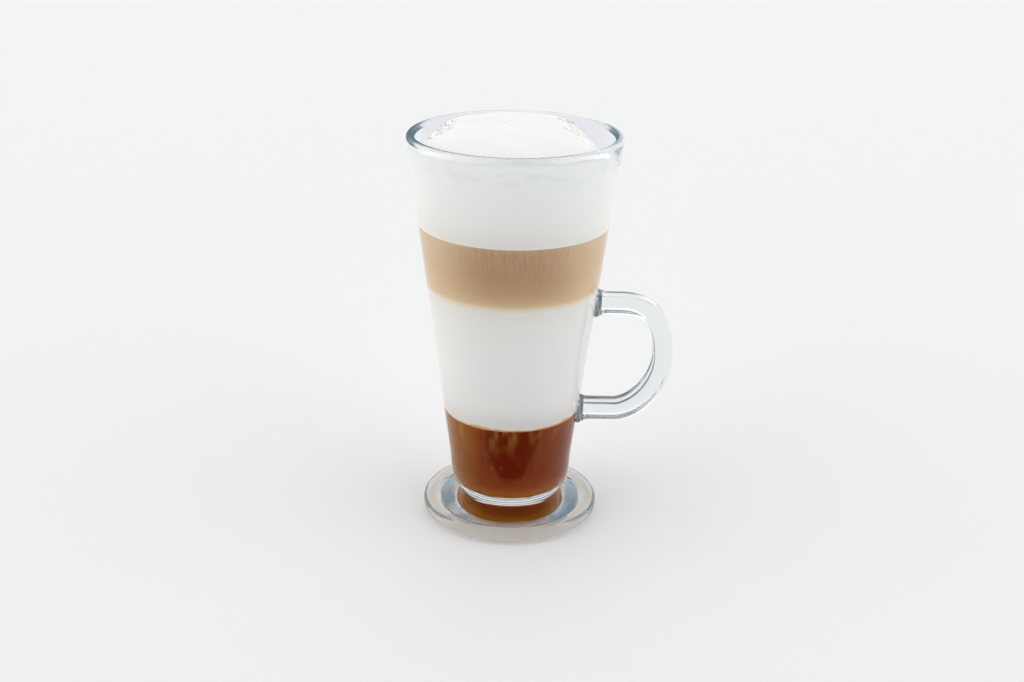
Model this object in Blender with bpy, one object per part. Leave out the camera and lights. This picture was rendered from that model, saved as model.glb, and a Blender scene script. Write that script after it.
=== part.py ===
# Latte macchiato in its footed glass mug, with the drink in four layers.
# Metres, +Z up. The foot stands on z = 0. The handle points to +X, and the origin
# is under the middle of the whole outline, so the glass axis lies to -X of it.
import math

import bmesh
import bpy

# Glass bowl: a straight cone with a rounded lip
GLASS_HEIGHT = 0.152
RIM_RADIUS = 0.0400  # of the cone, carried on to the full height
TAPER = 0.1256  # loss of radius for each metre down
WALL = 0.0030
BOWL_BLEND_HEIGHT = 0.0240  # the outside starts to round in below this
BOWL_SHOULDER = (0.0236, 0.0108)

# Waist and foot, (radius, height)
WAIST_TOP = (0.0201, 0.0103)
WAIST_NECK = (0.0192, 0.0096)
WAIST_BOTTOM = (0.0195, 0.0080)
FLANK_HOLLOW = (0.0207, 0.0062)
FLANK_END = (0.0277, 0.0037)
FOOT_RADIUS = 0.0345
FOOT_THICKNESS = 0.0052
FOOT_SIDE_HEIGHT = 0.0029  # where the foot is widest
FOOT_CREST_RADIUS = 0.0312
SEAT_OUTER_RADIUS = 0.0314
SEAT_INNER_RADIUS = 0.0290
RECESS_PEAK = 0.0046  # the roof of the recess is a shallow cone, highest in its middle
RECESS_HEIGHT = 0.0022
RECESS_ROOF_RADIUS = 0.0274
RECESS_SHOULDER = 0.0284  # the roof turns down here
RECESS_LIP = (0.0288, 0.0004)

# Inside of the bowl
FLOOR_HEIGHT = 0.0116
FLOOR_RADIUS = 0.0110  # flat middle of the floor
FLOOR_BLEND_HEIGHT = 0.0230

# Handle: a bar of rounded oblong section, bent to a D
HANDLE_THICKNESS = 0.0071
HANDLE_DEPTH = 0.0104
HANDLE_EDGE = 0.0018
HANDLE_CENTRE = (0.0400, 0.0647)  # x from the glass axis, z
HANDLE_REACH = 0.0185
HANDLE_RISE = 0.0220
HANDLE_DROP = 0.0223
UPPER_SQUARENESS = 2.6
LOWER_SQUARENESS = 1.8
ROOT_FLARE = 1.25
ROOT_FLARE_LENGTH = 0.0045

# Drink: the heights where one layer meets the next, and the foam mound
SYRUP_TOP = 0.0429
MILK_TOP = 0.0950
COFFEE_TOP = 0.1178
FOAM_EDGE = 0.1490  # where the foam meets the wall, away from the slumps
MOUND_RISE = 0.0062
MOUND_SQUARENESS = 3.6
MOUND_FALL = 0.70  # under 1, the sides of the mound are steeper
MOUND_TILT = 0.0005  # the mound is a little higher towards the handle
# where the foam has slipped down beside the wall: depth, direction, half width in radians
SLUMPS = ((0.0180, math.radians(12), 0.48), (0.0084, math.radians(171), 0.32))
SLUMP_STEEPNESS = 3.4
LUMP_HEIGHT = 0.00022
LUMP_SPACING = 0.0055

CLEARANCE = 0.0003
ROUND_STEPS = 64
MOUND_RINGS = 12
RING_CROWDING = 1.6  # over 1, the mound's rings close up towards the wall
HANDLE_STEPS = 8

AXIS_X = (RIM_RADIUS - HANDLE_CENTRE[0] - HANDLE_REACH - HANDLE_THICKNESS / 2) / 2


def material(name, color, roughness, transmission=0.0, ior=1.45):
    mat = bpy.data.materials.new(name)
    mat.use_nodes = True
    shader = mat.node_tree.nodes["Principled BSDF"]
    shader.inputs["Base Color"].default_value = (*color, 1.0)
    shader.inputs["Roughness"].default_value = roughness
    shader.inputs["Metallic"].default_value = 0.0
    shader.inputs["Transmission Weight"].default_value = transmission
    shader.inputs["IOR"].default_value = ior
    mat.diffuse_color = (*color, 1.0)
    return mat


def new_object(name, mesh, mat, axis):
    mesh.materials.append(mat)
    obj = bpy.data.objects.new(name, mesh)
    bpy.context.scene.collection.objects.link(obj)
    obj.parent = axis
    return obj


def bend(start, control, end, steps):
    # points of a quadratic curve, after its start
    points = []
    for step in range(1, steps + 1):
        t = step / steps
        a, b, c = (1 - t) ** 2, 2 * t * (1 - t), t * t
        points.append(tuple(a * p + b * q + c * r for p, q, r in zip(start, control, end)))
    return points


def cone_radius(z):
    return RIM_RADIUS - TAPER * (GLASS_HEIGHT - z)


def cavity_radius(z, inset=0.0):
    # inner radius of the straight wall
    return cone_radius(z) - WALL - inset


def floor_curve(inset=0.0):
    # the rounded floor inside the bowl, from its middle out to the straight wall
    floor = FLOOR_HEIGHT + inset
    blend = (cavity_radius(FLOOR_BLEND_HEIGHT, inset), FLOOR_BLEND_HEIGHT)
    corner = (cavity_radius(FLOOR_HEIGHT, inset), floor)
    flat = (FLOOR_RADIUS, floor)
    return [(0.0, floor), flat] + bend(flat, corner, blend, 6)


def glass_outline():
    # half outline as (radius, height), from under the foot round to the inside floor
    outline = [(0.0, RECESS_PEAK), (RECESS_ROOF_RADIUS, RECESS_HEIGHT)]
    outline += bend(outline[-1], (RECESS_SHOULDER, RECESS_HEIGHT), RECESS_LIP, 3)
    outline += [(SEAT_INNER_RADIUS, 0.0), (SEAT_OUTER_RADIUS, 0.0)]
    foot_side = (FOOT_RADIUS, FOOT_SIDE_HEIGHT)
    outline += bend(outline[-1], (FOOT_RADIUS, 0.0), foot_side, 3)
    outline += bend(foot_side, (FOOT_RADIUS, FOOT_THICKNESS), (FOOT_CREST_RADIUS, FOOT_THICKNESS), 3)
    crest_inside = ((FOOT_CREST_RADIUS + FLANK_END[0]) / 2, FOOT_THICKNESS)
    outline += bend(outline[-1], crest_inside, FLANK_END, 2)
    outline += bend(FLANK_END, FLANK_HOLLOW, WAIST_BOTTOM, 4)
    outline += bend(WAIST_BOTTOM, WAIST_NECK, WAIST_TOP, 2)
    bowl_side = (cone_radius(BOWL_BLEND_HEIGHT), BOWL_BLEND_HEIGHT)
    outline += bend(WAIST_TOP, BOWL_SHOULDER, bowl_side, 7)
    lip_height = GLASS_HEIGHT - WALL / 2
    lip_centre = cone_radius(lip_height) - WALL / 2
    for step in range(7):
        angle = math.pi * step / 6
        outline.append((lip_centre + math.cos(angle) * WALL / 2, lip_height + math.sin(angle) * WALL / 2))
    return outline + floor_curve()[::-1]


def lathe(name, outline):
    # turns the half outline about Z into one closed mesh
    bm = bmesh.new()
    verts = [bm.verts.new((radius, 0.0, height)) for radius, height in outline]
    edges = [bm.edges.new(pair) for pair in zip(verts, verts[1:])]
    bmesh.ops.spin(bm, geom=verts + edges, cent=(0, 0, 0), axis=(0, 0, 1), dvec=(0, 0, 0),
                   angle=2 * math.pi, steps=ROUND_STEPS, use_merge=True, use_duplicate=False)
    bmesh.ops.remove_doubles(bm, verts=bm.verts, dist=1e-6)
    bmesh.ops.recalc_face_normals(bm, faces=bm.faces)
    mesh = bpy.data.meshes.new(name)
    bm.to_mesh(mesh)
    bm.free()
    mesh.shade_smooth()
    mesh.set_sharp_from_angle(angle=math.radians(35))
    return mesh


def handle_root(height):
    # the stretch where the bar swells to meet the wall, from inside the wall outwards
    wall = cone_radius(height)
    root = [(wall - WALL / 2, height, ROOT_FLARE)]
    for step in range(4):
        share = step / 3
        root.append((wall + share * ROOT_FLARE_LENGTH, height, 1 + (ROOT_FLARE - 1) * (1 - share) ** 2))
    return root


def handle_path():
    # (x, z, swelling) down the middle of the bar, from the upper root to the lower one
    centre_x, centre_z = HANDLE_CENTRE
    bends = []
    for rise, squareness in ((HANDLE_RISE, UPPER_SQUARENESS), (-HANDLE_DROP, LOWER_SQUARENESS)):
        quarter = []
        for step in range(HANDLE_STEPS + 1):
            turn = math.pi / 2 * step / HANDLE_STEPS
            quarter.append((centre_x + HANDLE_REACH * math.sin(turn) ** (2 / squareness),
                            centre_z + rise * abs(math.cos(turn)) ** (2 / squareness), 1.0))
        bends.append(quarter)
    upper, lower = bends
    return (handle_root(centre_z + HANDLE_RISE) + upper + lower[-2::-1]
            + handle_root(centre_z - HANDLE_DROP)[::-1])


def section_curve():
    # rounded oblong: local x through the depth of the handle, local y in its plane
    curve = bpy.data.curves.new("handle_section", "CURVE")
    curve.dimensions = "2D"
    curve.fill_mode = "NONE"
    across, along = HANDLE_DEPTH / 2 - HANDLE_EDGE, HANDLE_THICKNESS / 2 - HANDLE_EDGE
    points = []
    for quarter, (side, face) in enumerate(((1, 1), (-1, 1), (-1, -1), (1, -1))):
        for step in range(4):
            angle = math.pi / 2 * (quarter + step / 3)
            points.append((side * across + HANDLE_EDGE * math.cos(angle),
                           face * along + HANDLE_EDGE * math.sin(angle)))
    spline = curve.splines.new("POLY")
    spline.points.add(len(points) - 1)
    for point, (x, y) in zip(spline.points, points):
        point.co = (x, y, 0.0, 1.0)
    spline.use_cyclic_u = True
    return curve


def handle_mesh():
    # sweeps the section along the path
    section = bpy.data.objects.new("handle_section", section_curve())
    curve = bpy.data.curves.new("handle_path", "CURVE")
    curve.dimensions = "3D"
    curve.bevel_mode = "OBJECT"
    curve.bevel_object = section
    curve.use_fill_caps = True
    path = handle_path()
    spline = curve.splines.new("POLY")
    spline.points.add(len(path) - 1)
    for point, (x, z, swelling) in zip(spline.points, path):
        point.co = (x, 0.0, z, 1.0)
        point.radius = swelling
    sweep = bpy.data.objects.new("handle_sweep", curve)
    for obj in (section, sweep):
        bpy.context.scene.collection.objects.link(obj)
    bpy.context.view_layer.update()
    mesh = bpy.data.meshes.new_from_object(sweep.evaluated_get(bpy.context.evaluated_depsgraph_get()))
    for obj in (sweep, section):
        bpy.data.objects.remove(obj)
    bm = bmesh.new()
    bm.from_mesh(mesh)
    bmesh.ops.remove_doubles(bm, verts=bm.verts, dist=1e-6)
    bmesh.ops.recalc_face_normals(bm, faces=bm.faces)
    bm.to_mesh(mesh)
    bm.free()
    return mesh


def glass(axis):
    mat = material("clear_glass", (0.92, 0.96, 0.97), 0.02, transmission=1.0, ior=1.5)
    body = new_object("glass", lathe("glass", glass_outline()), mat, axis)
    handle = new_object("handle", handle_mesh(), mat, axis)
    handle.hide_render = True
    handle.display_type = "WIRE"
    union = body.modifiers.new("handle", "BOOLEAN")
    union.operation = "UNION"
    union.solver = "EXACT"
    union.object = handle
    return body


def layer(name, low, high, mat, axis):
    # a slice of the drink between two heights, clear of the glass and its neighbours
    low += CLEARANCE / 2
    high -= CLEARANCE / 2
    outline = [(0.0, low), (cavity_radius(low, CLEARANCE), low),
               (cavity_radius(high, CLEARANCE), high), (0.0, high)]
    return new_object(name, lathe(name, outline), mat, axis)


def syrup(axis):
    mat = material("caramel_syrup", (0.16, 0.030, 0.003), 0.15)
    high = SYRUP_TOP - CLEARANCE / 2
    outline = floor_curve(CLEARANCE) + [(cavity_radius(high, CLEARANCE), high), (0.0, high)]
    return new_object("caramel_syrup", lathe("caramel_syrup", outline), mat, axis)


def foam_height(x, y, rim):
    # height of the mound at a place, where rim is the radius at its edge
    share = min(1.0, math.hypot(x, y) / rim)
    mound = (1 - share ** MOUND_SQUARENESS) ** MOUND_FALL
    slump = 0.0
    for depth, direction, width in SLUMPS:
        turn = math.remainder(math.atan2(y, x) - direction, 2 * math.pi)
        slump += depth * math.exp(-(turn / width) ** 2) * share ** SLUMP_STEEPNESS
    u, v = x / LUMP_SPACING, y / LUMP_SPACING
    # two waves that cross at a slant make uneven lumps
    lumps = math.sin(u + 1.3) * math.cos(0.9 * v) + 0.7 * math.sin(1.2 * u + 1.9 * v)
    return FOAM_EDGE + MOUND_RISE * mound + MOUND_TILT * x / rim - slump + LUMP_HEIGHT * lumps


def foam(axis):
    mat = material("milk_foam", (0.94, 0.93, 0.90), 0.7)
    low = COFFEE_TOP + CLEARANCE / 2
    shares = [1 - (1 - ring / MOUND_RINGS) ** RING_CROWDING for ring in range(MOUND_RINGS + 1)]
    flat = [(share * cavity_radius(FOAM_EDGE, CLEARANCE), FOAM_EDGE) for share in shares]
    outline = [(0.0, low), (cavity_radius(low, CLEARANCE), low)] + flat[::-1]
    mesh = lathe("foam", outline)
    rim = flat[-1][0]
    for vert in mesh.vertices:
        if vert.co.z < (low + FOAM_EDGE) / 2:
            continue
        height = foam_height(vert.co.x, vert.co.y, rim)
        reach = min(1.0, cavity_radius(height, CLEARANCE) / rim)
        vert.co = (vert.co.x * reach, vert.co.y * reach, height)
    mesh.update()
    return new_object("foam", mesh, mat, axis)


def main():
    for obj in list(bpy.data.objects):
        bpy.data.objects.remove(obj, do_unlink=True)
    axis = bpy.data.objects.new("glass_axis", None)
    axis.location.x = AXIS_X
    bpy.context.scene.collection.objects.link(axis)
    glass(axis)
    syrup(axis)
    layer("milk", SYRUP_TOP, MILK_TOP, material("milk", (0.72, 0.70, 0.65), 0.4), axis)
    layer("coffee", MILK_TOP, COFFEE_TOP, material("milky_coffee", (0.42, 0.26, 0.14), 0.4), axis)
    foam(axis)


main()
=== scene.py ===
import math
import random

import bmesh
import bpy
from mathutils import Matrix, Vector, noise


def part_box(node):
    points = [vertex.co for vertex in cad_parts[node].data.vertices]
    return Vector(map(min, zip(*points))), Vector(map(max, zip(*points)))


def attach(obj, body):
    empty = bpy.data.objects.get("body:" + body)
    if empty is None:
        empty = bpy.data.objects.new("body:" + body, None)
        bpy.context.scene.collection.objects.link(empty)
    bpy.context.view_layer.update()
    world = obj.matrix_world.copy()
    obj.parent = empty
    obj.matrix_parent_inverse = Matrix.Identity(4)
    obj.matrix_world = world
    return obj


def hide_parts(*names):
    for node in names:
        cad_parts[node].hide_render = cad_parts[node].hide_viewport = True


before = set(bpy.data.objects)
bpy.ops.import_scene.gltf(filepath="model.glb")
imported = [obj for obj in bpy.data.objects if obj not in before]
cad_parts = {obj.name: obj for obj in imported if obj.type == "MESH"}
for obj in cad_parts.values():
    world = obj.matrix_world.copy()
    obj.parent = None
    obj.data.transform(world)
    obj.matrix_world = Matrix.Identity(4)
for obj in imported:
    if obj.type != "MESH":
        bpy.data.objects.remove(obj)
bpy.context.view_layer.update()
print("frame loaded:", sorted(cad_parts))

drinkBoxes = {name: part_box(name) for name in ("caramel_syrup", "milk", "coffee", "foam")}
axisX = (drinkBoxes["milk"][0].x + drinkBoxes["milk"][1].x) / 2  # the glass stands on this line
layerGap = drinkBoxes["milk"][0].z - drinkBoxes["caramel_syrup"][1].z
wallReach = 0.00015  # how far the drink reaches into the wall, so no air shows
tiny = 1e-6  # anything closer is in the same place

# metres; pairs are (radius, height) unless a note says otherwise
mug = {
    "height": 0.152,
    "rimRadius": 0.0400,  # of the cone at full height
    "taper": 0.1256,  # growth of the radius with height
    "wall": 0.0030,
    "bowlBlendHeight": 0.0240,  # the shoulder runs into the straight bowl here
    "shoulder": (0.0236, 0.0108),
    "waist": ((0.0201, 0.0103), (0.0192, 0.0096), (0.0195, 0.0080)),  # from above to below
    "flankHollow": (0.0207, 0.0062),
    "flankEnd": (0.0277, 0.0037),
    "footRadius": 0.0345,
    "footThickness": 0.0052,
    "footSideHeight": 0.0029,
    "footCrestRadius": 0.0312,
    "seatRadii": (0.0290, 0.0314),  # inside and outside of the ring it stands on
    "recessPeak": 0.0046,  # the roof under the foot is a shallow cone, highest in the middle
    "recess": (0.0274, 0.0022),  # where that roof ends
    "recessBend": (0.0284, 0.0288, 0.0004),  # where it turns down, and the lip it ends in
    "floorHeight": 0.0116,
    "floorRadius": 0.0110,
    "floorBlendHeight": 0.0230,
    "steps": 384,  # round the axis
    "sharpAngle": 30,
    "curveSteps": {"recess": 16, "lip": 4, "seat": 6, "side": 12, "crest": 10, "flank": 8,
                   "hollow": 14, "waist": 6, "shoulder": 22, "rim": 16, "floor": 20},
}
handle = {
    "thickness": 0.0071,
    "depth": 0.0104,
    "edge": 0.0018,  # rounding of its corners
    "centre": (0.0400, 0.0647),  # from the axis, and height
    "reach": 0.0185,
    "rise": 0.0220,
    "drop": 0.0223,
    "squareness": (2.6, 1.8),  # of the upper and the lower half
    "rootFlare": 1.25,
    "rootLength": 0.0045,
    "rootSteps": 6,
    "steps": 26,
    "cornerSteps": 6,
}


def bend(start, control, end, steps):
    # points of a quadratic curve, after its start
    points = []
    for step in range(1, steps + 1):
        t = step / steps
        a, b, c = (1 - t) ** 2, 2 * t * (1 - t), t * t
        points.append(tuple(a * p + b * q + c * r for p, q, r in zip(start, control, end)))
    return points


def coneRadius(z):
    return mug["rimRadius"] - mug["taper"] * (mug["height"] - z)


def cavityRadius(z, inset=0.0):
    return coneRadius(z) - mug["wall"] - inset


def floorCurve(inset=0.0):
    # rounded floor of the bowl, from its middle out to the straight wall
    floor, blendHeight = mug["floorHeight"] + inset, mug["floorBlendHeight"]
    flat = (mug["floorRadius"], floor)
    corner = (cavityRadius(mug["floorHeight"], inset), floor)
    end = (cavityRadius(blendHeight, inset), blendHeight)
    return [(0.0, floor), flat] + bend(flat, corner, end, mug["curveSteps"]["floor"])


def turned(outline, steps):
    # spins a half outline about Z into one closed shape
    bm = bmesh.new()
    verts = [bm.verts.new((radius, 0.0, height)) for radius, height in outline]
    edges = [bm.edges.new(pair) for pair in zip(verts, verts[1:])]
    bmesh.ops.spin(bm, geom=verts + edges, cent=(0, 0, 0), axis=(0, 0, 1), dvec=(0, 0, 0),
                   angle=2 * math.pi, steps=steps, use_merge=True, use_duplicate=False)
    bmesh.ops.remove_doubles(bm, verts=bm.verts, dist=tiny)
    bmesh.ops.recalc_face_normals(bm, faces=bm.faces)
    return bm


def smoothShading(mesh, sharpAngle):
    mesh.shade_smooth()
    mesh.set_sharp_from_angle(angle=math.radians(sharpAngle))


def pieceFrom(name, bm, mat, sharpAngle=40):
    # puts the shape on the glass axis and gives it its finish
    bmesh.ops.translate(bm, verts=bm.verts, vec=(axisX, 0, 0))
    mesh = bpy.data.meshes.new(name)
    bm.to_mesh(mesh)
    bm.free()
    mesh.materials.append(mat)
    smoothShading(mesh, sharpAngle)
    piece = bpy.data.objects.new(name, mesh)
    bpy.context.scene.collection.objects.link(piece)
    return piece


def addNode(tree, kind, **settings):
    # a node with its properties and its unlinked inputs set
    node = tree.nodes.new(kind)
    for key, value in settings.items():
        if hasattr(node, key):
            setattr(node, key, value)
        else:
            node.inputs[key.replace("_", " ")].default_value = value
    return node


def newMaterial(name, **values):
    mat = bpy.data.materials.new(name)
    mat.use_nodes = True
    shader = mat.node_tree.nodes["Principled BSDF"]
    for key, value in values.items():
        shader.inputs[key.replace("_", " ")].default_value = value
    return mat, mat.node_tree, shader


def coordinates(tree, scale=(1, 1, 1)):
    # object coordinates, centred on the glass axis
    place = addNode(tree, "ShaderNodeTexCoord")
    mapping = addNode(tree, "ShaderNodeMapping", Location=(-axisX * scale[0], 0, 0), Scale=scale)
    tree.links.new(place.outputs["Object"], mapping.inputs["Vector"])
    return mapping.outputs["Vector"]


def noiseOf(tree, vector, scale, detail=3.0, roughness=0.5, distortion=0.0):
    pattern = addNode(tree, "ShaderNodeTexNoise", Scale=scale, Detail=detail, Roughness=roughness,
                      Distortion=distortion)
    tree.links.new(vector, pattern.inputs["Vector"])
    return pattern.outputs["Fac"]


def cellsOf(tree, vector, scale):
    # distance from the middle of the nearest cell
    cells = addNode(tree, "ShaderNodeTexVoronoi", Scale=scale)
    tree.links.new(vector, cells.inputs["Vector"])
    return cells.outputs["Distance"]


def rampOf(tree, value, stops):
    # colour ramp through (position, colour) stops
    ramp = addNode(tree, "ShaderNodeValToRGB")
    elements = ramp.color_ramp.elements
    while len(elements) < len(stops):
        elements.new(0.5)
    for element, (position, colour) in zip(elements, stops):
        element.position = position
        element.color = (*colour, 1.0)
    tree.links.new(value, ramp.inputs["Fac"])
    return ramp.outputs["Color"]


def rangeOf(tree, value, low, high, toLow=0.0, toHigh=1.0, smooth=False):
    node = addNode(tree, "ShaderNodeMapRange", From_Min=low, From_Max=high, To_Min=toLow, To_Max=toHigh)
    node.interpolation_type = "SMOOTHSTEP" if smooth else "LINEAR"
    tree.links.new(value, node.inputs["Value"])
    return node.outputs["Result"]


def mixOf(tree, factor, first, second, blend="MIX"):
    node = addNode(tree, "ShaderNodeMix", data_type="RGBA", blend_type=blend)
    sockets = [node.inputs[0], node.inputs[6], node.inputs[7]]  # factor and the two colours
    for socket, value in zip(sockets, (factor, first, second)):
        if isinstance(value, bpy.types.NodeSocket):
            tree.links.new(value, socket)
        elif isinstance(value, tuple):
            socket.default_value = (*value, 1.0)
        else:
            socket.default_value = value
    return node.outputs[2]


def mathOf(tree, operation, *values):
    node = addNode(tree, "ShaderNodeMath", operation=operation)
    for socket, value in zip(node.inputs, values):
        if isinstance(value, bpy.types.NodeSocket):
            tree.links.new(value, socket)
        else:
            socket.default_value = value
    return node.outputs["Value"]


def chainOf(tree, operation, first, *others):
    # one operation over any number of values, in turn
    for other in others:
        first = mathOf(tree, operation, first, other)
    return first


def product(tree, *values):
    return chainOf(tree, "MULTIPLY", *values)


def largest(tree, *values):
    return chainOf(tree, "MAXIMUM", *values)


def between(tree, value, rise, fall, softFall=False):
    # 1 from the end of the rise to the start of the fall
    return product(tree, rangeOf(tree, value, *rise),
                   rangeOf(tree, value, *fall, 1.0, 0.0, smooth=softFall))


def lengthOf(tree, a, b):
    return mathOf(tree, "SQRT", mathOf(tree, "ADD", product(tree, a, a), product(tree, b, b)))


def axesOf(tree, vector):
    parts = addNode(tree, "ShaderNodeSeparateXYZ")
    tree.links.new(vector, parts.inputs["Vector"])
    return [parts.outputs[name] for name in "XYZ"]


def bumpTo(tree, shader, height, strength, distance):
    # adds to the bumps that the shader has already
    node = addNode(tree, "ShaderNodeBump", Strength=strength, Distance=distance)
    tree.links.new(height, node.inputs["Height"])
    if shader.inputs["Normal"].links:
        tree.links.new(shader.inputs["Normal"].links[0].from_socket, node.inputs["Normal"])
    tree.links.new(node.outputs["Normal"], shader.inputs["Normal"])


def absorb(tree, colour, density):
    tint = addNode(tree, "ShaderNodeVolumeAbsorption", Color=colour, Density=density)
    tree.links.new(tint.outputs["Volume"], tree.nodes["Material Output"].inputs["Volume"])


# pairs are where a zone starts and where it is whole, or where it starts to end and has ended;
# two more values are what it gives at either end
glassLook = {
    "tint": (0.45, 0.70, 0.76, 1.0),
    "tintDensity": 7.0,
    "reflection": (0.06, 0.06, 0.06, 1.0),
    "clear": ((0.3, (0.985, 0.995, 0.995)), (0.7, (1.0, 1.0, 1.0))),  # colours over the waves
    "waves": {"scale": 45.0, "detail": 2.0, "strength": 0.03, "depth": 0.001},
    "lip": {
        "colour": (0.10, 0.165, 0.21),  # painted shade: dark at grazing angles along the rim and the foot, where light is lost in the glass
        "share": 0.90,
        "facing": (0.48, 0.80),
        "depth": 0.0020,
        "softness": 0.0005,
        "far": (0.008, 0.022),  # painted light: its far side stays lighter
        "farShare": 0.30,
        "handleward": (0.018, 0.030),  # painted light: towards the handle its outside is lighter
        "outside": (0.0376, 0.0385),
        "pale": (0.78, 0.88, 0.93),
        "paleLoss": 0.45,
    },
    # painted shade along the outer edge of the foot, in the rim's dark colour
    "foot": {"share": 0.45, "facing": (0.62, 0.90), "top": (0.0060, 0.0070),
             "inside": (0.0278, 0.0286)},
    "paintedFootReflection": {
        "colour": (0.46, 0.60, 0.68),  # painted reflection: bluish left and right, inside its rolled edge
        "share": 0.32,
        "sideways": (0.012, 0.022),
        "inside": (0.0225, 0.0240),
        "outside": (0.0268, 0.0282),
        "above": (0.0012, 0.0020),
        "patches": (0.38, 0.60, 0.1, 1.0),
        "patchScale": 130.0,
    },
    "bar": {"colour": (0.93, 0.94, 0.945), "start": (0.0006, 0.0030), "above": (0.030, 0.034)},
    "lines": {
        "colour": (0.15, 0.20, 0.24),  # painted shade: dark stripes along the inside and the underside of the handle
        "depths": ((-0.0040, -0.0030), (0.0004, 0.0030)),
        "softness": 0.0004,
        "inner": (0.35, 0.75),  # cosine between a face and the way to the handle's centre
        "outer": (-0.75, -0.35),
        "downward": (-0.5, -0.2),
        "breaks": (0.35, 0.60, 0.30, 0.62),
        "breakScale": 95.0,
        "rise": (0.060, 0.074, 0.62, 1.25),  # they are stronger at the upper arm
    },
    # painted shade: dark bands where the handle leaves the bowl
    "roots": {"start": (0.0002, 0.0006), "end": (0.0014, 0.0022), "share": 0.42},
    # the ring that it stands on is ground matt; its cream white is partly painted light, brightening the
    # ring as light through the foot would
    "ground": {"colour": (1.0, 0.93, 0.85), "share": 0.30, "top": (0.0010, 0.0018),
               "edge": (0.0318, 0.0328)},
    # a thin film of milk on the bare wall above the drink
    "film": {"colour": (0.80, 0.80, 0.86), "depth": (0.0003, 0.0006), "above": (0.136, 0.138),
             "far": (-0.002, 0.016)},
    # fine rings pressed under the foot
    "grooves": {"spacing": 0.00064, "inside": (0.0190, 0.0210), "outside": (0.0290, 0.0300),
                "top": (0.0024, 0.0026), "strength": 0.5, "depth": 0.00003},
}


def glassPlaces(tree):
    # where a point of the glass is, how far beyond the cone of the bowl, and how steeply it is seen
    vector = coordinates(tree)
    x, y, height = axesOf(tree, vector)
    radius = lengthOf(tree, x, y)
    overhang = mathOf(tree, "MULTIPLY_ADD", height, -mug["taper"], radius)
    overhang = mathOf(tree, "SUBTRACT", overhang, coneRadius(0.0))
    facing = addNode(tree, "ShaderNodeLayerWeight").outputs["Facing"]
    return {"vector": vector, "x": x, "y": y, "height": height, "radius": radius, "overhang": overhang,
            "facing": facing}


def paintedRimShade(tree, at):
    # painted shade on the rim, and how far painted light takes its place
    look = glassLook["lip"]
    start = mug["height"] - look["depth"]
    edge = rangeOf(tree, at["facing"], *look["facing"], smooth=True)
    lip = rangeOf(tree, at["height"], start, start + look["softness"], 0.0, look["share"])
    pale = product(tree, rangeOf(tree, at["x"], *look["handleward"]),
                   rangeOf(tree, at["radius"], *look["outside"]))
    loss = mathOf(tree, "MULTIPLY_ADD", pale, -look["paleLoss"], 1.0)
    far = rangeOf(tree, at["y"], *look["far"], 1.0, look["farShare"], smooth=True)
    return product(tree, edge, product(tree, lip, loss, far)), pale


def paintedFootShade(tree, at):
    # painted shade along the outer edge of the foot
    look = glassLook["foot"]
    return product(tree, rangeOf(tree, at["height"], *look["top"], look["share"], 0.0),
                   rangeOf(tree, at["radius"], *look["inside"]),
                   rangeOf(tree, at["facing"], *look["facing"], smooth=True))


def paintedFootReflection(tree, at):
    # painted reflection: bluish patches left and right on the foot
    look = glassLook["paintedFootReflection"]
    sideways = mathOf(tree, "ABSOLUTE", at["x"])
    patches = rangeOf(tree, noiseOf(tree, at["vector"], look["patchScale"], detail=2.0), *look["patches"])
    return product(tree, rangeOf(tree, sideways, *look["sideways"], smooth=True),
                   between(tree, at["radius"], look["inside"], look["outside"]),
                   rangeOf(tree, at["height"], *glassLook["foot"]["top"], look["share"], 0.0),
                   rangeOf(tree, at["height"], *look["above"]), patches)


def paintedHandleLines(tree, at, bar):
    # painted shade: dark stripes over the depth of the handle, on its inside and under it
    look = glassLook["lines"]
    normalX, _, normalZ = axesOf(tree, addNode(tree, "ShaderNodeNewGeometry").outputs["Normal"])
    centreX, centreZ = handle["centre"]
    toX = mathOf(tree, "SUBTRACT", centreX, at["x"])
    toZ = mathOf(tree, "SUBTRACT", centreZ, at["height"])
    inward = mathOf(tree, "ADD", product(tree, normalX, toX), product(tree, normalZ, toZ))
    inward = mathOf(tree, "DIVIDE", inward, lengthOf(tree, toX, toZ))
    inner = rangeOf(tree, inward, *look["inner"])
    under = product(tree, rangeOf(tree, inward, *look["outer"], 1.0, 0.0),
                    rangeOf(tree, normalZ, *look["downward"], 1.0, 0.0))
    soft = look["softness"]
    stripes = largest(tree, *[between(tree, at["y"], (low - soft, low), (high, high + soft))
                              for low, high in look["depths"]])
    breaks = rangeOf(tree, noiseOf(tree, at["vector"], look["breakScale"], detail=1.0), *look["breaks"])
    strength = product(tree, breaks, rangeOf(tree, at["height"], *look["rise"]))
    return product(tree, largest(tree, inner, under), product(tree, bar, stripes), strength)


def paintedRootBands(tree, at, besideBowl):
    # painted shade: dark bands where the handle leaves the bowl
    look = glassLook["roots"]
    return product(tree, between(tree, at["overhang"], look["start"], look["end"], softFall=True),
                   besideBowl, look["share"])


def groundRing(tree, at):
    # ground matt, and partly painted light that brightens the ring
    look = glassLook["ground"]
    return product(tree, rangeOf(tree, at["height"], *look["top"], look["share"], 0.0),
                   rangeOf(tree, at["radius"], *look["edge"], 1.0, 0.0))


def milkFilm(tree, at):
    look = glassLook["film"]
    inside = [depth - mug["wall"] for depth in look["depth"]]
    return product(tree, rangeOf(tree, at["overhang"], *inside, 1.0, 0.0),
                   rangeOf(tree, at["height"], *look["above"]),
                   rangeOf(tree, at["y"], *look["far"], smooth=True))


def pressGrooves(tree, shader, at):
    look = glassLook["grooves"]
    rings = mathOf(tree, "SINE", product(tree, at["radius"], 2 * math.pi / look["spacing"]))
    zone = product(tree, between(tree, at["radius"], look["inside"], look["outside"]),
                   rangeOf(tree, at["height"], *look["top"], 1.0, 0.0))
    bumpTo(tree, shader, product(tree, rings, zone), look["strength"], look["depth"])


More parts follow.
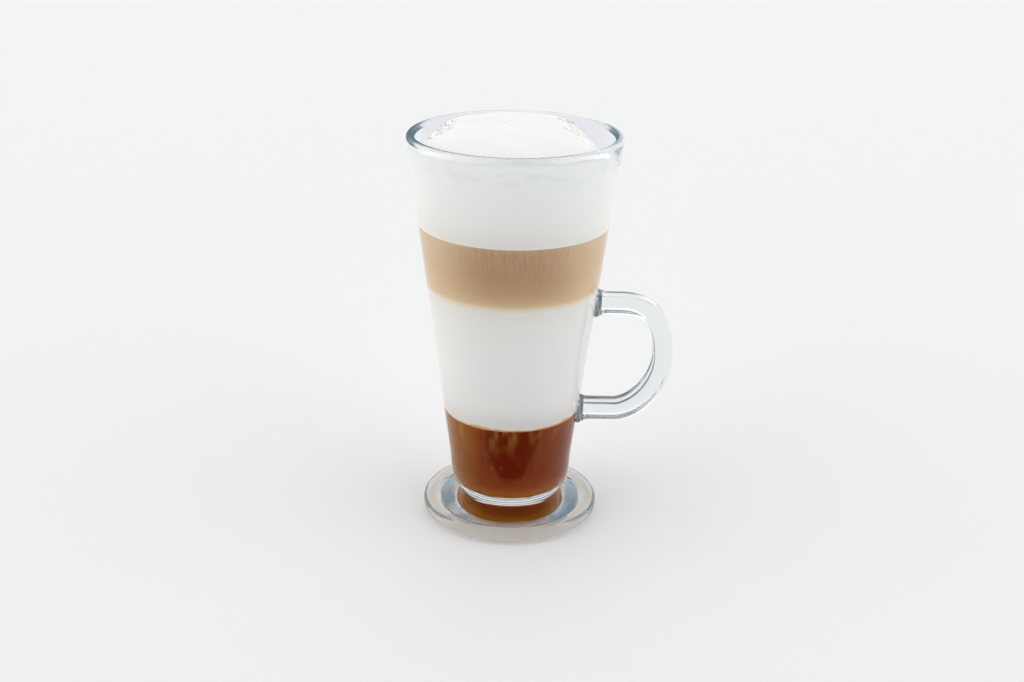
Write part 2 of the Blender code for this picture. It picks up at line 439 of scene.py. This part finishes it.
def clearGlass():
    mat, tree, shader = newMaterial("clearGlass", Roughness=0.0, IOR=1.5, Specular_IOR_Level=0.0,
                                    Specular_Tint=glassLook["reflection"])
    at = glassPlaces(tree)
    waveLook, barLook = glassLook["waves"], glassLook["bar"]
    waves = noiseOf(tree, at["vector"], waveLook["scale"], detail=waveLook["detail"])
    besideBowl = rangeOf(tree, at["height"], *barLook["above"])
    bar = product(tree, rangeOf(tree, at["overhang"], *barLook["start"], smooth=True), besideBowl)
    lip, pale = paintedRimShade(tree, at)
    dark = largest(tree, lip, paintedFootShade(tree, at))
    lines = largest(tree, paintedHandleLines(tree, at, bar), paintedRootBands(tree, at, besideBowl))
    ground, sides = groundRing(tree, at), paintedFootReflection(tree, at)

    colour = rampOf(tree, waves, glassLook["clear"])
    colour = mixOf(tree, bar, colour, barLook["colour"])
    colour = mixOf(tree, milkFilm(tree, at), colour, glassLook["film"]["colour"])
    edgeColour = mixOf(tree, pale, glassLook["lip"]["colour"], glassLook["lip"]["pale"])
    # painted light, shade and reflection: each colour is whole well before its share of the surface is
    for share, whole, tone in ((ground, 0.1, glassLook["ground"]["colour"]), (dark, 0.3, edgeColour),
                               (lines, 0.3, glassLook["lines"]["colour"]),
                               (sides, 0.1, glassLook["paintedFootReflection"]["colour"])):
        colour = mixOf(tree, rangeOf(tree, share, 0.0, whole), colour, tone)
    # the painted parts let no light through
    solid = largest(tree, ground, sides, dark, lines)
    tree.links.new(colour, shader.inputs["Base Color"])
    tree.links.new(mathOf(tree, "SUBTRACT", 1.0, solid), shader.inputs["Transmission Weight"])
    bumpTo(tree, shader, waves, waveLook["strength"], waveLook["depth"])
    pressGrooves(tree, shader, at)
    absorb(tree, glassLook["tint"], glassLook["tintDensity"])
    return mat


syrupLook = {
    "tint": (0.74, 0.44, 0.0, 1.0),
    "tintDensity": 190.0,
    "clear": 0.4,  # share of the light that goes through it
    "deep": (0.28, 0.022, 0.001),
    "brown": (0.47, 0.100, 0.020),
    "amber": (0.62, 0.23, 0.010),
    "gold": (0.90, 0.50, 0.09),
    "paintedShadeWidth": 0.37,  # painted shade: half angle of each dark patch, standing in for the thick middle that lets little light through
    "paintedShadeWidening": 0.35,  # towards the top
    "paintedShadeHeights": (0.0330, 0.0135),  # middle, half height
    "paintedShadeWander": 1.2,
    "paintedShadeEdge": (0.70, 1.25),
    "swirlScale": 85.0,
    "swirlDistortion": 2.2,
    "swirlEdges": 0.45,  # darkness of the veins between the swirls
    "swirlWidth": 0.03,
    # painted light: the syrup is lighter amber on the side towards -x and round its bottom edge, where
    # light shines through it
    "amberSide": (-0.0100, -0.0175),
    "amberBottom": (0.0012, 0.0050),  # above its lowest point
    "amberRadius": (0.010, 0.0145),
    "amberPatches": (0.3, 0.6, 0.55, 1.0),
    "streakScale": 240.0,
    "streaks": (0.46, 0.62),
    "streakDepth": (-0.013, -0.002),  # below its top
    "streakSide": (0.012, -0.008, 0.35, 1.0),
    "streakShare": 0.5,
    # painted glints: small bright gold specks
    "sparkScale": 260.0,
    "sparks": (0.06, 0.11, 0.7, 0.0),
}


def caramelSyrup():
    mat, tree, shader = newMaterial("caramelSyrup", Roughness=0.0, IOR=1.42,
                                    Specular_Tint=(0.0, 0.0, 0.0, 1.0),
                                    Transmission_Weight=syrupLook["clear"])
    vector = coordinates(tree)
    x, y, height = axesOf(tree, vector)
    bottom, top = (corner.z for corner in drinkBoxes["caramel_syrup"])
    swirl = noiseOf(tree, coordinates(tree, (1, 1, 0.8)), syrupLook["swirlScale"],
                    distortion=syrupLook["swirlDistortion"])
    veins = mathOf(tree, "ABSOLUTE", mathOf(tree, "SUBTRACT", swirl, 0.5))
    veins = rangeOf(tree, veins, 0.0, syrupLook["swirlWidth"], 1.0, 0.0, smooth=True)
    veins = product(tree, veins, syrupLook["swirlEdges"])
    colour = mixOf(tree, veins, syrupLook["brown"], syrupLook["deep"])

    # painted light: lighter amber towards -x and round the bottom edge
    leftward = rangeOf(tree, x, *syrupLook["amberSide"])
    amberLow, amberHigh = (bottom + above for above in syrupLook["amberBottom"])
    below = product(tree, rangeOf(tree, height, amberLow, amberHigh, 1.0, 0.0),
                    rangeOf(tree, lengthOf(tree, x, y), *syrupLook["amberRadius"]))
    patches = rangeOf(tree, swirl, *syrupLook["amberPatches"])
    lighter = product(tree, largest(tree, leftward, below), patches)
    colour = mixOf(tree, lighter, colour, syrupLook["amber"])

    # painted shade: dark patches where the syrup is thickest and lets little light through
    middle, halfHeight = syrupLook["paintedShadeHeights"]
    rise = mathOf(tree, "DIVIDE", mathOf(tree, "SUBTRACT", height, middle), halfHeight)
    width = mathOf(tree, "MULTIPLY_ADD", mathOf(tree, "MAXIMUM", rise, 0.0), syrupLook["paintedShadeWidening"],
                   syrupLook["paintedShadeWidth"])
    angle = mathOf(tree, "ARCTAN2", x, product(tree, y, -1.0))
    away = mathOf(tree, "DIVIDE", mathOf(tree, "PINGPONG", angle, math.pi / 3), width)  # three patches of painted shade round the axis
    paintedShade = mathOf(tree, "ADD", product(tree, away, away), product(tree, rise, rise))
    wander = mathOf(tree, "MULTIPLY_ADD", swirl, syrupLook["paintedShadeWander"], -syrupLook["paintedShadeWander"] / 2)
    paintedShade = mathOf(tree, "ADD", paintedShade, wander)
    paintedShade = rangeOf(tree, paintedShade, *syrupLook["paintedShadeEdge"], 1.0, 0.0, smooth=True)
    colour = mixOf(tree, paintedShade, colour, syrupLook["deep"])

    streaks = noiseOf(tree, coordinates(tree, (1, 1, 0.35)), syrupLook["streakScale"], roughness=0.6)
    streakLow, streakHigh = (top + depth for depth in syrupLook["streakDepth"])
    glow = product(tree, rangeOf(tree, streaks, *syrupLook["streaks"]),
                   rangeOf(tree, height, streakLow, streakHigh),
                   rangeOf(tree, x, *syrupLook["streakSide"]), syrupLook["streakShare"])
    colour = mixOf(tree, glow, colour, syrupLook["gold"])
    # painted glints: small bright gold specks
    sparks = rangeOf(tree, cellsOf(tree, vector, syrupLook["sparkScale"]), *syrupLook["sparks"])
    tree.links.new(mixOf(tree, sparks, colour, syrupLook["gold"]), shader.inputs["Base Color"])
    absorb(tree, syrupLook["tint"], syrupLook["tintDensity"])
    return mat


milkLook = {
    "white": (0.955, 0.94, 0.92),
    "shade": 0.985,  # of the white, where it is darkest
    "cloudScale": 40.0,
    "golden": (0.93, 0.80, 0.62),
    "amber": (0.80, 0.45, 0.14),
    "topBlend": 0.0022,
    "topOver": 0.0008,
    "bottomBlend": 0.0010,
    "bottomOver": 0.0004,
    "wander": 0.0016,  # of the edges between the layers
    "wanderScale": 90.0,
    "wisps": 0.004,  # of syrup that reach up into it
    "wispScale": 110.0,
    "wispSharpness": 3.0,
    "speckColour": (0.80, 0.76, 0.70),
    "speckScale": 140.0,
    "specks": (0.03, 0.06, 0.6, 0.0),
}


def milkWhite(bottom, top):
    mat, tree, shader = newMaterial("milkWhite", Roughness=0.4, Specular_IOR_Level=0.1)
    vector = coordinates(tree)
    wander = product(tree, noiseOf(tree, vector, milkLook["wanderScale"]), milkLook["wander"])
    height = mathOf(tree, "ADD", axesOf(tree, vector)[2], wander)
    topEnd = top + milkLook["topOver"]
    bottomStart = bottom + milkLook["bottomOver"]
    bottomEnd = bottomStart + milkLook["bottomBlend"]
    upper = rangeOf(tree, height, topEnd - milkLook["topBlend"], topEnd, smooth=True)
    wisps = noiseOf(tree, vector, milkLook["wispScale"])
    wisps = mathOf(tree, "POWER", wisps, milkLook["wispSharpness"])
    reach = mathOf(tree, "SUBTRACT", height, product(tree, wisps, milkLook["wisps"]))
    lower = rangeOf(tree, reach, bottomStart, bottomEnd, 1.0, 0.0, smooth=True)
    shaded = tuple(milkLook["shade"] * part for part in milkLook["white"])
    clouds = noiseOf(tree, vector, milkLook["cloudScale"])
    body = rampOf(tree, clouds, ((0.3, shaded), (0.7, milkLook["white"])))
    specks = rangeOf(tree, cellsOf(tree, vector, milkLook["speckScale"]), *milkLook["specks"])
    colour = mixOf(tree, specks, body, milkLook["speckColour"])
    colour = mixOf(tree, upper, colour, milkLook["golden"])
    colour = mixOf(tree, lower, colour, milkLook["amber"])
    tree.links.new(colour, shader.inputs["Base Color"])
    return mat


coffeeLook = {
    "levels": ((0.0, (0.84, 0.66, 0.44)),  # where it runs into the milk
               (0.07, (0.74, 0.54, 0.33)), (0.22, (0.66, 0.455, 0.27)), (0.50, (0.61, 0.41, 0.255)),
               (0.90, (0.61, 0.41, 0.255)), (1.0, (0.65, 0.455, 0.29))),
    "wander": 0.0016,
    "wanderScale": 80.0,
    "streakScale": 1300.0,
    "streakHeight": 0.05,  # the lower, the longer they are
    "streakMarks": ((0.35, (0.80, 0.76, 0.72)), (0.65, (1.10, 1.12, 1.15))),
    "streaks": (0.25, 1.0, 0.0, 0.55),  # they fade downwards
    "pale": (0.84, 0.66, 0.46),  # painted light: lighter at the two sides, where the side lamps light it more
    "paintedSideLightStart": (0.011, 0.032),
    "paintedSideLightWander": 0.006,
    "paintedSideLightScale": 60.0,
    "paintedSideLightShare": 0.85,
}


def milkyCoffee(bottom, top):
    mat, tree, shader = newMaterial("milkyCoffee", Roughness=0.4, Specular_IOR_Level=0.1)
    vector = coordinates(tree)
    x, _, height = axesOf(tree, vector)
    wander = mathOf(tree, "MULTIPLY_ADD", noiseOf(tree, vector, coffeeLook["wanderScale"]),
                    coffeeLook["wander"], -coffeeLook["wander"] / 2)
    level = rangeOf(tree, mathOf(tree, "ADD", height, wander), bottom, top)
    body = rampOf(tree, level, coffeeLook["levels"])
    tall = coordinates(tree, (1, 1, coffeeLook["streakHeight"]))
    streaks = noiseOf(tree, tall, coffeeLook["streakScale"], detail=2.0)
    marks = rampOf(tree, streaks, coffeeLook["streakMarks"])
    colour = mixOf(tree, rangeOf(tree, level, *coffeeLook["streaks"]), body, marks, "MULTIPLY")
    # painted light: lighter towards both sides
    across = mathOf(tree, "MULTIPLY_ADD", noiseOf(tree, vector, coffeeLook["paintedSideLightScale"]),
                    coffeeLook["paintedSideLightWander"], mathOf(tree, "ABSOLUTE", x))
    paintedSideLight = rangeOf(tree, across, *coffeeLook["paintedSideLightStart"], smooth=True)
    paintedSideLight = product(tree, paintedSideLight, coffeeLook["paintedSideLightShare"])
    colour = mixOf(tree, paintedSideLight, colour, coffeeLook["pale"])
    tree.links.new(colour, shader.inputs["Base Color"])
    return mat


foamLook = {
    # painted shade: the top is darker than the sides, to even out how the light falls on them
    "front": (1.0, 0.992, 0.978),
    "top": (0.925, 0.92, 0.91),
    "topStart": (0.1478, 0.1495),
    "shade": (0.90, 0.90, 0.905),
    "band": ((0.139, 0.142), (0.1455, 0.1475)),  # the mottled band under the rim
    "mottle": (0.45, 0.7),
    "mottleScale": 130.0,
    "mottleShare": 0.7,
    "cloudScale": 70.0,
    "clouds": (0.5, 0.75),
    "cloudShare": 0.12,
    "cloudBump": (0.25, 0.0012),  # strength, depth
    "grainScale": 1300.0,
    "grainBump": (0.12, 0.0003),
}


def milkFoam():
    mat, tree, shader = newMaterial("milkFoam", Roughness=0.75, Specular_IOR_Level=0.2)
    vector = coordinates(tree)
    height = axesOf(tree, vector)[2]
    clouds = noiseOf(tree, vector, foamLook["cloudScale"], detail=4.0, roughness=0.6)
    # painted shade: darker on top
    upper = rangeOf(tree, height, *foamLook["topStart"], smooth=True)
    colour = mixOf(tree, upper, foamLook["front"], foamLook["top"])
    spots = noiseOf(tree, coordinates(tree, (1, 1, 1.8)), foamLook["mottleScale"])
    mottle = product(tree, rangeOf(tree, spots, *foamLook["mottle"]),
                     between(tree, height, *foamLook["band"]), foamLook["mottleShare"])
    mottle = mathOf(tree, "MULTIPLY_ADD", rangeOf(tree, clouds, *foamLook["clouds"]),
                    foamLook["cloudShare"], mottle)
    tree.links.new(mixOf(tree, mottle, colour, foamLook["shade"]), shader.inputs["Base Color"])
    bumpTo(tree, shader, cellsOf(tree, vector, foamLook["grainScale"]), *foamLook["grainBump"])
    bumpTo(tree, shader, clouds, *foamLook["cloudBump"])
    return mat


materials = {
    "glass": clearGlass(),
    "caramel_syrup": caramelSyrup(),
    "milk": milkWhite(drinkBoxes["milk"][0].z, drinkBoxes["milk"][1].z),
    "coffee": milkyCoffee(drinkBoxes["coffee"][0].z, drinkBoxes["coffee"][1].z),
    "foam": milkFoam(),
}
print("materials made:", len(materials))


def bowlOutline():
    # half the outline of the glass: under the foot, up the outside, over the lip, down the inside
    steps = mug["curveSteps"]
    recessRadius, recessHeight = mug["recess"]
    bendRadius, turnRadius, turnHeight = mug["recessBend"]
    seatInner, seatOuter = mug["seatRadii"]
    waistTop, waistNeck, waistBottom = mug["waist"]
    flankEnd, blendHeight = mug["flankEnd"], mug["bowlBlendHeight"]
    crest = (mug["footCrestRadius"], mug["footThickness"])
    side = (mug["footRadius"], mug["footSideHeight"])
    outline = [(0.0, mug["recessPeak"]), (recessRadius, recessHeight)]
    outline += bend(outline[-1], (bendRadius, recessHeight), (turnRadius, turnHeight), steps["recess"])
    outline += bend(outline[-1], ((turnRadius + seatInner) / 2, 0.0), (seatInner, 0.0), steps["lip"])
    for step in range(1, steps["seat"] + 1):
        outline.append((seatInner + (seatOuter - seatInner) * step / steps["seat"], 0.0))
    outline += bend(outline[-1], (mug["footRadius"], 0.0), side, steps["side"])
    outline += bend(side, (mug["footRadius"], mug["footThickness"]), crest, steps["crest"])
    outline += bend(crest, ((crest[0] + flankEnd[0]) / 2, crest[1]), flankEnd, steps["flank"])
    outline += bend(flankEnd, mug["flankHollow"], waistBottom, steps["hollow"])
    outline += bend(waistBottom, waistNeck, waistTop, steps["waist"])
    bowlStart = (coneRadius(blendHeight), blendHeight)
    outline += bend(waistTop, mug["shoulder"], bowlStart, steps["shoulder"])
    lipHeight = mug["height"] - mug["wall"] / 2
    lipCentre = coneRadius(lipHeight) - mug["wall"] / 2
    for step in range(steps["rim"] + 1):
        angle = math.pi * step / steps["rim"]
        outline.append((lipCentre + math.cos(angle) * mug["wall"] / 2,
                        lipHeight + math.sin(angle) * mug["wall"] / 2))
    return outline + floorCurve()[::-1]


def handleRoot(height):
    # from inside the wall out to where the curve of the handle starts
    wall, flare, steps = coneRadius(height), handle["rootFlare"], handle["rootSteps"]
    stations = [(wall - mug["wall"] / 2, height, flare)]
    for step in range(steps + 1):
        share = step / steps
        swelling = 1 + (flare - 1) * (1 - share) ** 2
        stations.append((wall + share * handle["rootLength"], height, swelling))
    return stations


def handleStations():
    # (x, z, swelling) down the middle of the handle, from root to root
    centreX, centreZ = handle["centre"]
    quarters = []
    for rise, squareness in zip((handle["rise"], -handle["drop"]), handle["squareness"]):
        quarter = []
        for step in range(handle["steps"] + 1):
            turn = math.pi / 2 * step / handle["steps"]
            quarter.append((centreX + handle["reach"] * math.sin(turn) ** (2 / squareness),
                            centreZ + rise * abs(math.cos(turn)) ** (2 / squareness), 1.0))
        quarters.append(quarter)
    upper, lower = quarters
    top, bottom = centreZ + handle["rise"], centreZ - handle["drop"]
    return handleRoot(top) + upper + lower[-2::-1] + handleRoot(bottom)[::-1]


def handleSection():
    # a rounded oblong: (through the depth, in the plane of the handle)
    across, along = handle["depth"] / 2 - handle["edge"], handle["thickness"] / 2 - handle["edge"]
    section, steps = [], handle["cornerSteps"]
    for quarter, (side, face) in enumerate(((1, 1), (-1, 1), (-1, -1), (1, -1))):
        for step in range(steps + 1):
            angle = math.pi / 2 * (quarter + step / steps)
            section.append((side * across + handle["edge"] * math.cos(angle),
                            face * along + handle["edge"] * math.sin(angle)))
    return section


def handleShape():
    # one face, pushed on from station to station
    section, stations = handleSection(), handleStations()
    bm = bmesh.new()
    cap = bm.faces.new([bm.verts.new((depth, height, 0)) for depth, height in section])
    for index, (x, z, swelling) in enumerate(stations):
        before, after = stations[max(index - 1, 0)], stations[min(index + 1, len(stations) - 1)]
        outward = Vector((before[1] - after[1], 0, after[0] - before[0])).normalized()
        if index:
            cap = bmesh.ops.extrude_discrete_faces(bm, faces=[cap])["faces"][0]
        for vert, (depth, height) in zip(cap.verts, section):
            vert.co = Vector((x, depth * swelling, z)) + outward * height * swelling
    bmesh.ops.holes_fill(bm, edges=bm.edges)
    bmesh.ops.recalc_face_normals(bm, faces=bm.faces)
    return bm


def makeGlass():
    bowl = turned(bowlOutline(), mug["steps"])
    piece = pieceFrom("mugGlass", bowl, materials["glass"], sharpAngle=mug["sharpAngle"])
    bar = pieceFrom("handleBar", handleShape(), materials["glass"], sharpAngle=mug["sharpAngle"])
    union = piece.modifiers.new("handle", "BOOLEAN")
    union.operation = "UNION"
    union.solver = "EXACT"
    union.object = bar
    bpy.context.view_layer.update()
    joined = bpy.data.meshes.new_from_object(piece.evaluated_get(bpy.context.evaluated_depsgraph_get()))
    piece.modifiers.clear()
    piece.data = joined
    bpy.data.objects.remove(bar)
    smoothShading(joined, mug["sharpAngle"])
    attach(piece, "root")
    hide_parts("glass")


makeGlass()
print("glass made")

layers = {
    "steps": 192,  # round the axis
    "sideSteps": 12,
}


def sideCurve(low, high):
    # up the inside of the wall, from one height to another
    heights = [low + (high - low) * i / layers["sideSteps"] for i in range(layers["sideSteps"] + 1)]
    return [(cavityRadius(height, -wallReach), height) for height in heights]


def makeSyrup():
    high = drinkBoxes["caramel_syrup"][1].z + layerGap / 2
    outline = floorCurve(-wallReach) + [(cavityRadius(high, -wallReach), high), (0.0, high)]
    piece = pieceFrom("caramelSyrup", turned(outline, layers["steps"]), materials["caramel_syrup"])
    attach(piece, "root")
    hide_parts("caramel_syrup")


def makeLayer(name, node):
    low, high = drinkBoxes[node][0].z - layerGap / 2, drinkBoxes[node][1].z + layerGap / 2
    outline = [(0.0, low)] + sideCurve(low, high) + [(0.0, high)]
    piece = pieceFrom(name, turned(outline, layers["steps"]), materials[node])
    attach(piece, "root")
    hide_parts(node)


makeSyrup()
makeLayer("milkLayer", "milk")
makeLayer("coffeeLayer", "coffee")
print("syrup, milk and coffee made")

foam = {
    "edge": 0.1490,  # height where it meets the wall
    "rise": 0.0062,
    "squareness": 3.6,
    "fall": 0.70,
    "tilt": 0.0005,
    # depth, direction, width
    "slumps": ((0.0180, math.radians(12), 0.48), (0.0084, math.radians(171), 0.32)),
    "slumpSteepness": 3.4,
    "lumpHeight": 0.00022,
    "lumpSpacing": 0.0055,
    "rings": 110,
    "ringCrowding": 1.35,  # more rings near the wall
    "steps": 512,
    "grainHeight": 0.00010,
    "grainScale": 700,
    "froth": (0.0017, 330.0),  # depth and closeness of the hollows where it slumps
    "frothStart": 0.0018,  # slump from which they have their full depth
    # x, y, radius, depth
    "pits": ((-0.0032, 0.0020, 0.0011, 0.0007), (0.0105, 0.0010, 0.0008, 0.0004)),
}


def foamHeight(x, y, rim):
    share = min(1.0, math.hypot(x, y) / rim)
    mound = (1 - share ** foam["squareness"]) ** foam["fall"]
    slump = 0.0
    for depth, direction, width in foam["slumps"]:
        turn = math.remainder(math.atan2(y, x) - direction, 2 * math.pi)
        slump += depth * math.exp(-(turn / width) ** 2) * share ** foam["slumpSteepness"]
    frothDepth, frothScale = foam["froth"]
    cell = noise.voronoi(Vector((x, y, 0)) * frothScale)[0][0]
    hollow = (1 - min(1.0, 1.7 * cell)) ** 0.7  # deepest in the middle of its cell
    slump += frothDepth * min(1.0, slump / foam["frothStart"]) * hollow
    u, v = x / foam["lumpSpacing"], y / foam["lumpSpacing"]
    # crossed waves that don't repeat together
    lumps = math.sin(u + 1.3) * math.cos(0.9 * v) + 0.7 * math.sin(1.2 * u + 1.9 * v)
    grain = noise.fractal(Vector((x, y, 0)) * foam["grainScale"], 0.8, 2.0, 3)
    height = (foam["edge"] + foam["rise"] * mound + foam["tilt"] * x / rim - slump
              + foam["lumpHeight"] * lumps + foam["grainHeight"] * grain)
    for pitX, pitY, radius, depth in foam["pits"]:
        height -= depth * math.exp(-((x - pitX) ** 2 + (y - pitY) ** 2) / radius ** 2)
    return height


def settleFoam(bm, low, rim):
    # lifts and lowers the flat top to the mound, and stretches the side to meet it
    edge = foam["edge"]
    for vert in bm.verts:
        x, y, level = vert.co
        radius = math.hypot(x, y)
        onSide = low + tiny < level < edge - tiny
        if radius < tiny:
            height = foamHeight(0, 0, rim) if level > low + tiny else low
        elif level > edge - tiny:
            height = foamHeight(x, y, rim)
        elif onSide:
            around = rim / radius
            top = foamHeight(x * around, y * around, rim)
            height = low + (level - low) * (top - low) / (edge - low)
        else:
            height = low
        if radius > tiny:
            reach = cavityRadius(height, -wallReach) / radius
            if not onSide:
                reach = min(1.0, reach)
            vert.co.x *= reach
            vert.co.y *= reach
        vert.co.z = height


def makeFoam():
    low = drinkBoxes["foam"][0].z - layerGap / 2
    rim = cavityRadius(foam["edge"], -wallReach)
    rings, crowding = foam["rings"], foam["ringCrowding"]
    shares = [1 - (1 - ring / rings) ** crowding for ring in range(rings + 1)]
    top = [(share * rim, foam["edge"]) for share in shares[::-1]]
    bm = turned([(0.0, low)] + sideCurve(low, foam["edge"])[:-1] + top, foam["steps"])
    settleFoam(bm, low, rim)
    bmesh.ops.recalc_face_normals(bm, faces=bm.faces)
    piece = pieceFrom("foamMound", bm, materials["foam"], sharpAngle=60)
    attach(piece, "root")
    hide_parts("foam")


makeFoam()
print("foam made")

bubbles = {
    "seed": 5,
    "sizes": (0.00018, 0.00065),
    "smallness": 2.5,  # the higher, the more of them are small
    # how many, direction, spread, and shares of the radius that they lie between
    "patches": ((75, math.radians(12), 0.62, (0.60, 0.96)),
                (65, math.radians(171), 0.50, (0.72, 0.96))),
    "sunk": 0.15,
    "wallGap": 0.0001,
    "tones": ((0.4, (0.80, 0.75, 0.68)), (0.6, (0.94, 0.93, 0.91))),
    "toneScale": 400.0,
}


def bubbleFilm():
    mat, tree, shader = newMaterial("bubbleFilm", Roughness=0.12, IOR=1.2, Transmission_Weight=0.15)
    tone = noiseOf(tree, coordinates(tree), bubbles["toneScale"])
    tree.links.new(rampOf(tree, tone, bubbles["tones"]), shader.inputs["Base Color"])
    return mat


def makeBubbles():
    draw = random.Random(bubbles["seed"])
    smallest, widest = bubbles["sizes"]
    rim = cavityRadius(foam["edge"], -wallReach)
    bm = bmesh.new()
    for count, direction, spread, shares in bubbles["patches"]:
        for _ in range(count):
            size = smallest + (widest - smallest) * draw.random() ** bubbles["smallness"]
            angle, share = direction + draw.uniform(-spread, spread), draw.uniform(*shares)
            x, y = rim * share * math.cos(angle), rim * share * math.sin(angle)
            height = foamHeight(x, y, rim)
            reach = min(1.0, (cavityRadius(height) - size - bubbles["wallGap"]) / math.hypot(x, y))
            place = Matrix.Translation((x * reach, y * reach, height + size * bubbles["sunk"]))
            bmesh.ops.create_uvsphere(bm, u_segments=8, v_segments=6, radius=size, matrix=place)
    piece = pieceFrom("foamBubbles", bm, bubbleFilm(), sharpAngle=80)
    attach(piece, "root")


makeBubbles()
print("bubbles made")

studio = {
    "floorDrop": 0.0002,
    "floorSize": 6.0,
    "floorColour": (0.87, 0.87, 0.875, 1.0),
    "horizon": (1.28, 1.28, 1.28),
    "zenith": (0.84, 0.84, 0.84),
    "overhead": (0.2, 0.9),  # cosines between which the zenith's light sets in
    "dark": ((0.0, -0.94, 0.34), (0.70, 0.95), (0.04, 0.07, 0.09)),  # direction, cosines, colour
    "lamps": (((-0.93, -0.30, 0.05), (0.50, 0.95), (0.80, 0.78, 0.75)),
              ((0.93, -0.30, 0.05), (0.50, 0.95), (0.75, 0.78, 0.80))),
    "background": (0.90, 0.90, 0.91),
    "lens": 47.7,
    "sensor": 36,
    "cameraPlace": (axisX, -0.4875, 0.265),
    "cameraDown": 21.79,  # degrees
    "cameraRoll": 0.907,
    "bounces": {"max_bounces": 20, "transmission_bounces": 16, "glossy_bounces": 8},
}


def makeFloor():
    bm = bmesh.new()
    bmesh.ops.create_grid(bm, x_segments=1, y_segments=1, size=studio["floorSize"] / 2)
    bmesh.ops.translate(bm, verts=bm.verts, vec=(0, 0, -studio["floorDrop"]))
    mesh = bpy.data.meshes.new("floor")
    bm.to_mesh(mesh)
    bm.free()
    mesh.materials.append(newMaterial("floorPaper", Base_Color=studio["floorColour"], Roughness=0.6)[0])
    floor = bpy.data.objects.new("floor", mesh)
    bpy.context.scene.collection.objects.link(floor)


def makeWorld():
    # a white room, darker behind the camera, with a soft lamp on either side
    world = bpy.data.worlds.new("studio")
    bpy.context.scene.world = world
    world.use_nodes = True
    tree = world.node_tree
    direction = addNode(tree, "ShaderNodeTexCoord").outputs["Generated"]

    def lobe(centre, cosines):
        toward = addNode(tree, "ShaderNodeVectorMath", operation="DOT_PRODUCT")
        toward.inputs[1].default_value = centre
        tree.links.new(direction, toward.inputs[0])
        return rangeOf(tree, toward.outputs["Value"], *cosines, smooth=True)

    colour = mixOf(tree, lobe((0, 0, 1), studio["overhead"]), studio["horizon"], studio["zenith"])
    centre, cosines, dark = studio["dark"]
    colour = mixOf(tree, lobe(centre, cosines), colour, dark)
    for centre, cosines, light in studio["lamps"]:
        colour = mixOf(tree, lobe(centre, cosines), colour, light, "ADD")
    seen = addNode(tree, "ShaderNodeLightPath").outputs["Is Camera Ray"]
    colour = mixOf(tree, seen, colour, studio["background"])
    tree.links.new(colour, tree.nodes["Background"].inputs["Color"])


def makeCamera():
    camera = bpy.data.objects.new("camera", bpy.data.cameras.new("camera"))
    bpy.context.scene.collection.objects.link(camera)
    camera.data.sensor_width = studio["sensor"]
    camera.data.lens = studio["lens"]
    down = Matrix.Rotation(math.radians(90 - studio["cameraDown"]), 4, "X")
    roll = Matrix.Rotation(math.radians(studio["cameraRoll"]), 4, "Z")
    camera.matrix_world = Matrix.Translation(studio["cameraPlace"]) @ (down @ roll)
    bpy.context.scene.camera = camera


def setLightPaths():
    paths = bpy.context.scene.cycles
    paths.blur_glossy = 0  # light keeps its way through the glass
    for name, limit in studio["bounces"].items():
        setattr(paths, name, limit)
    bpy.context.scene.view_settings.view_transform = "Standard"


makeFloor()
makeWorld()
makeCamera()
setLightPaths()
print("studio made")
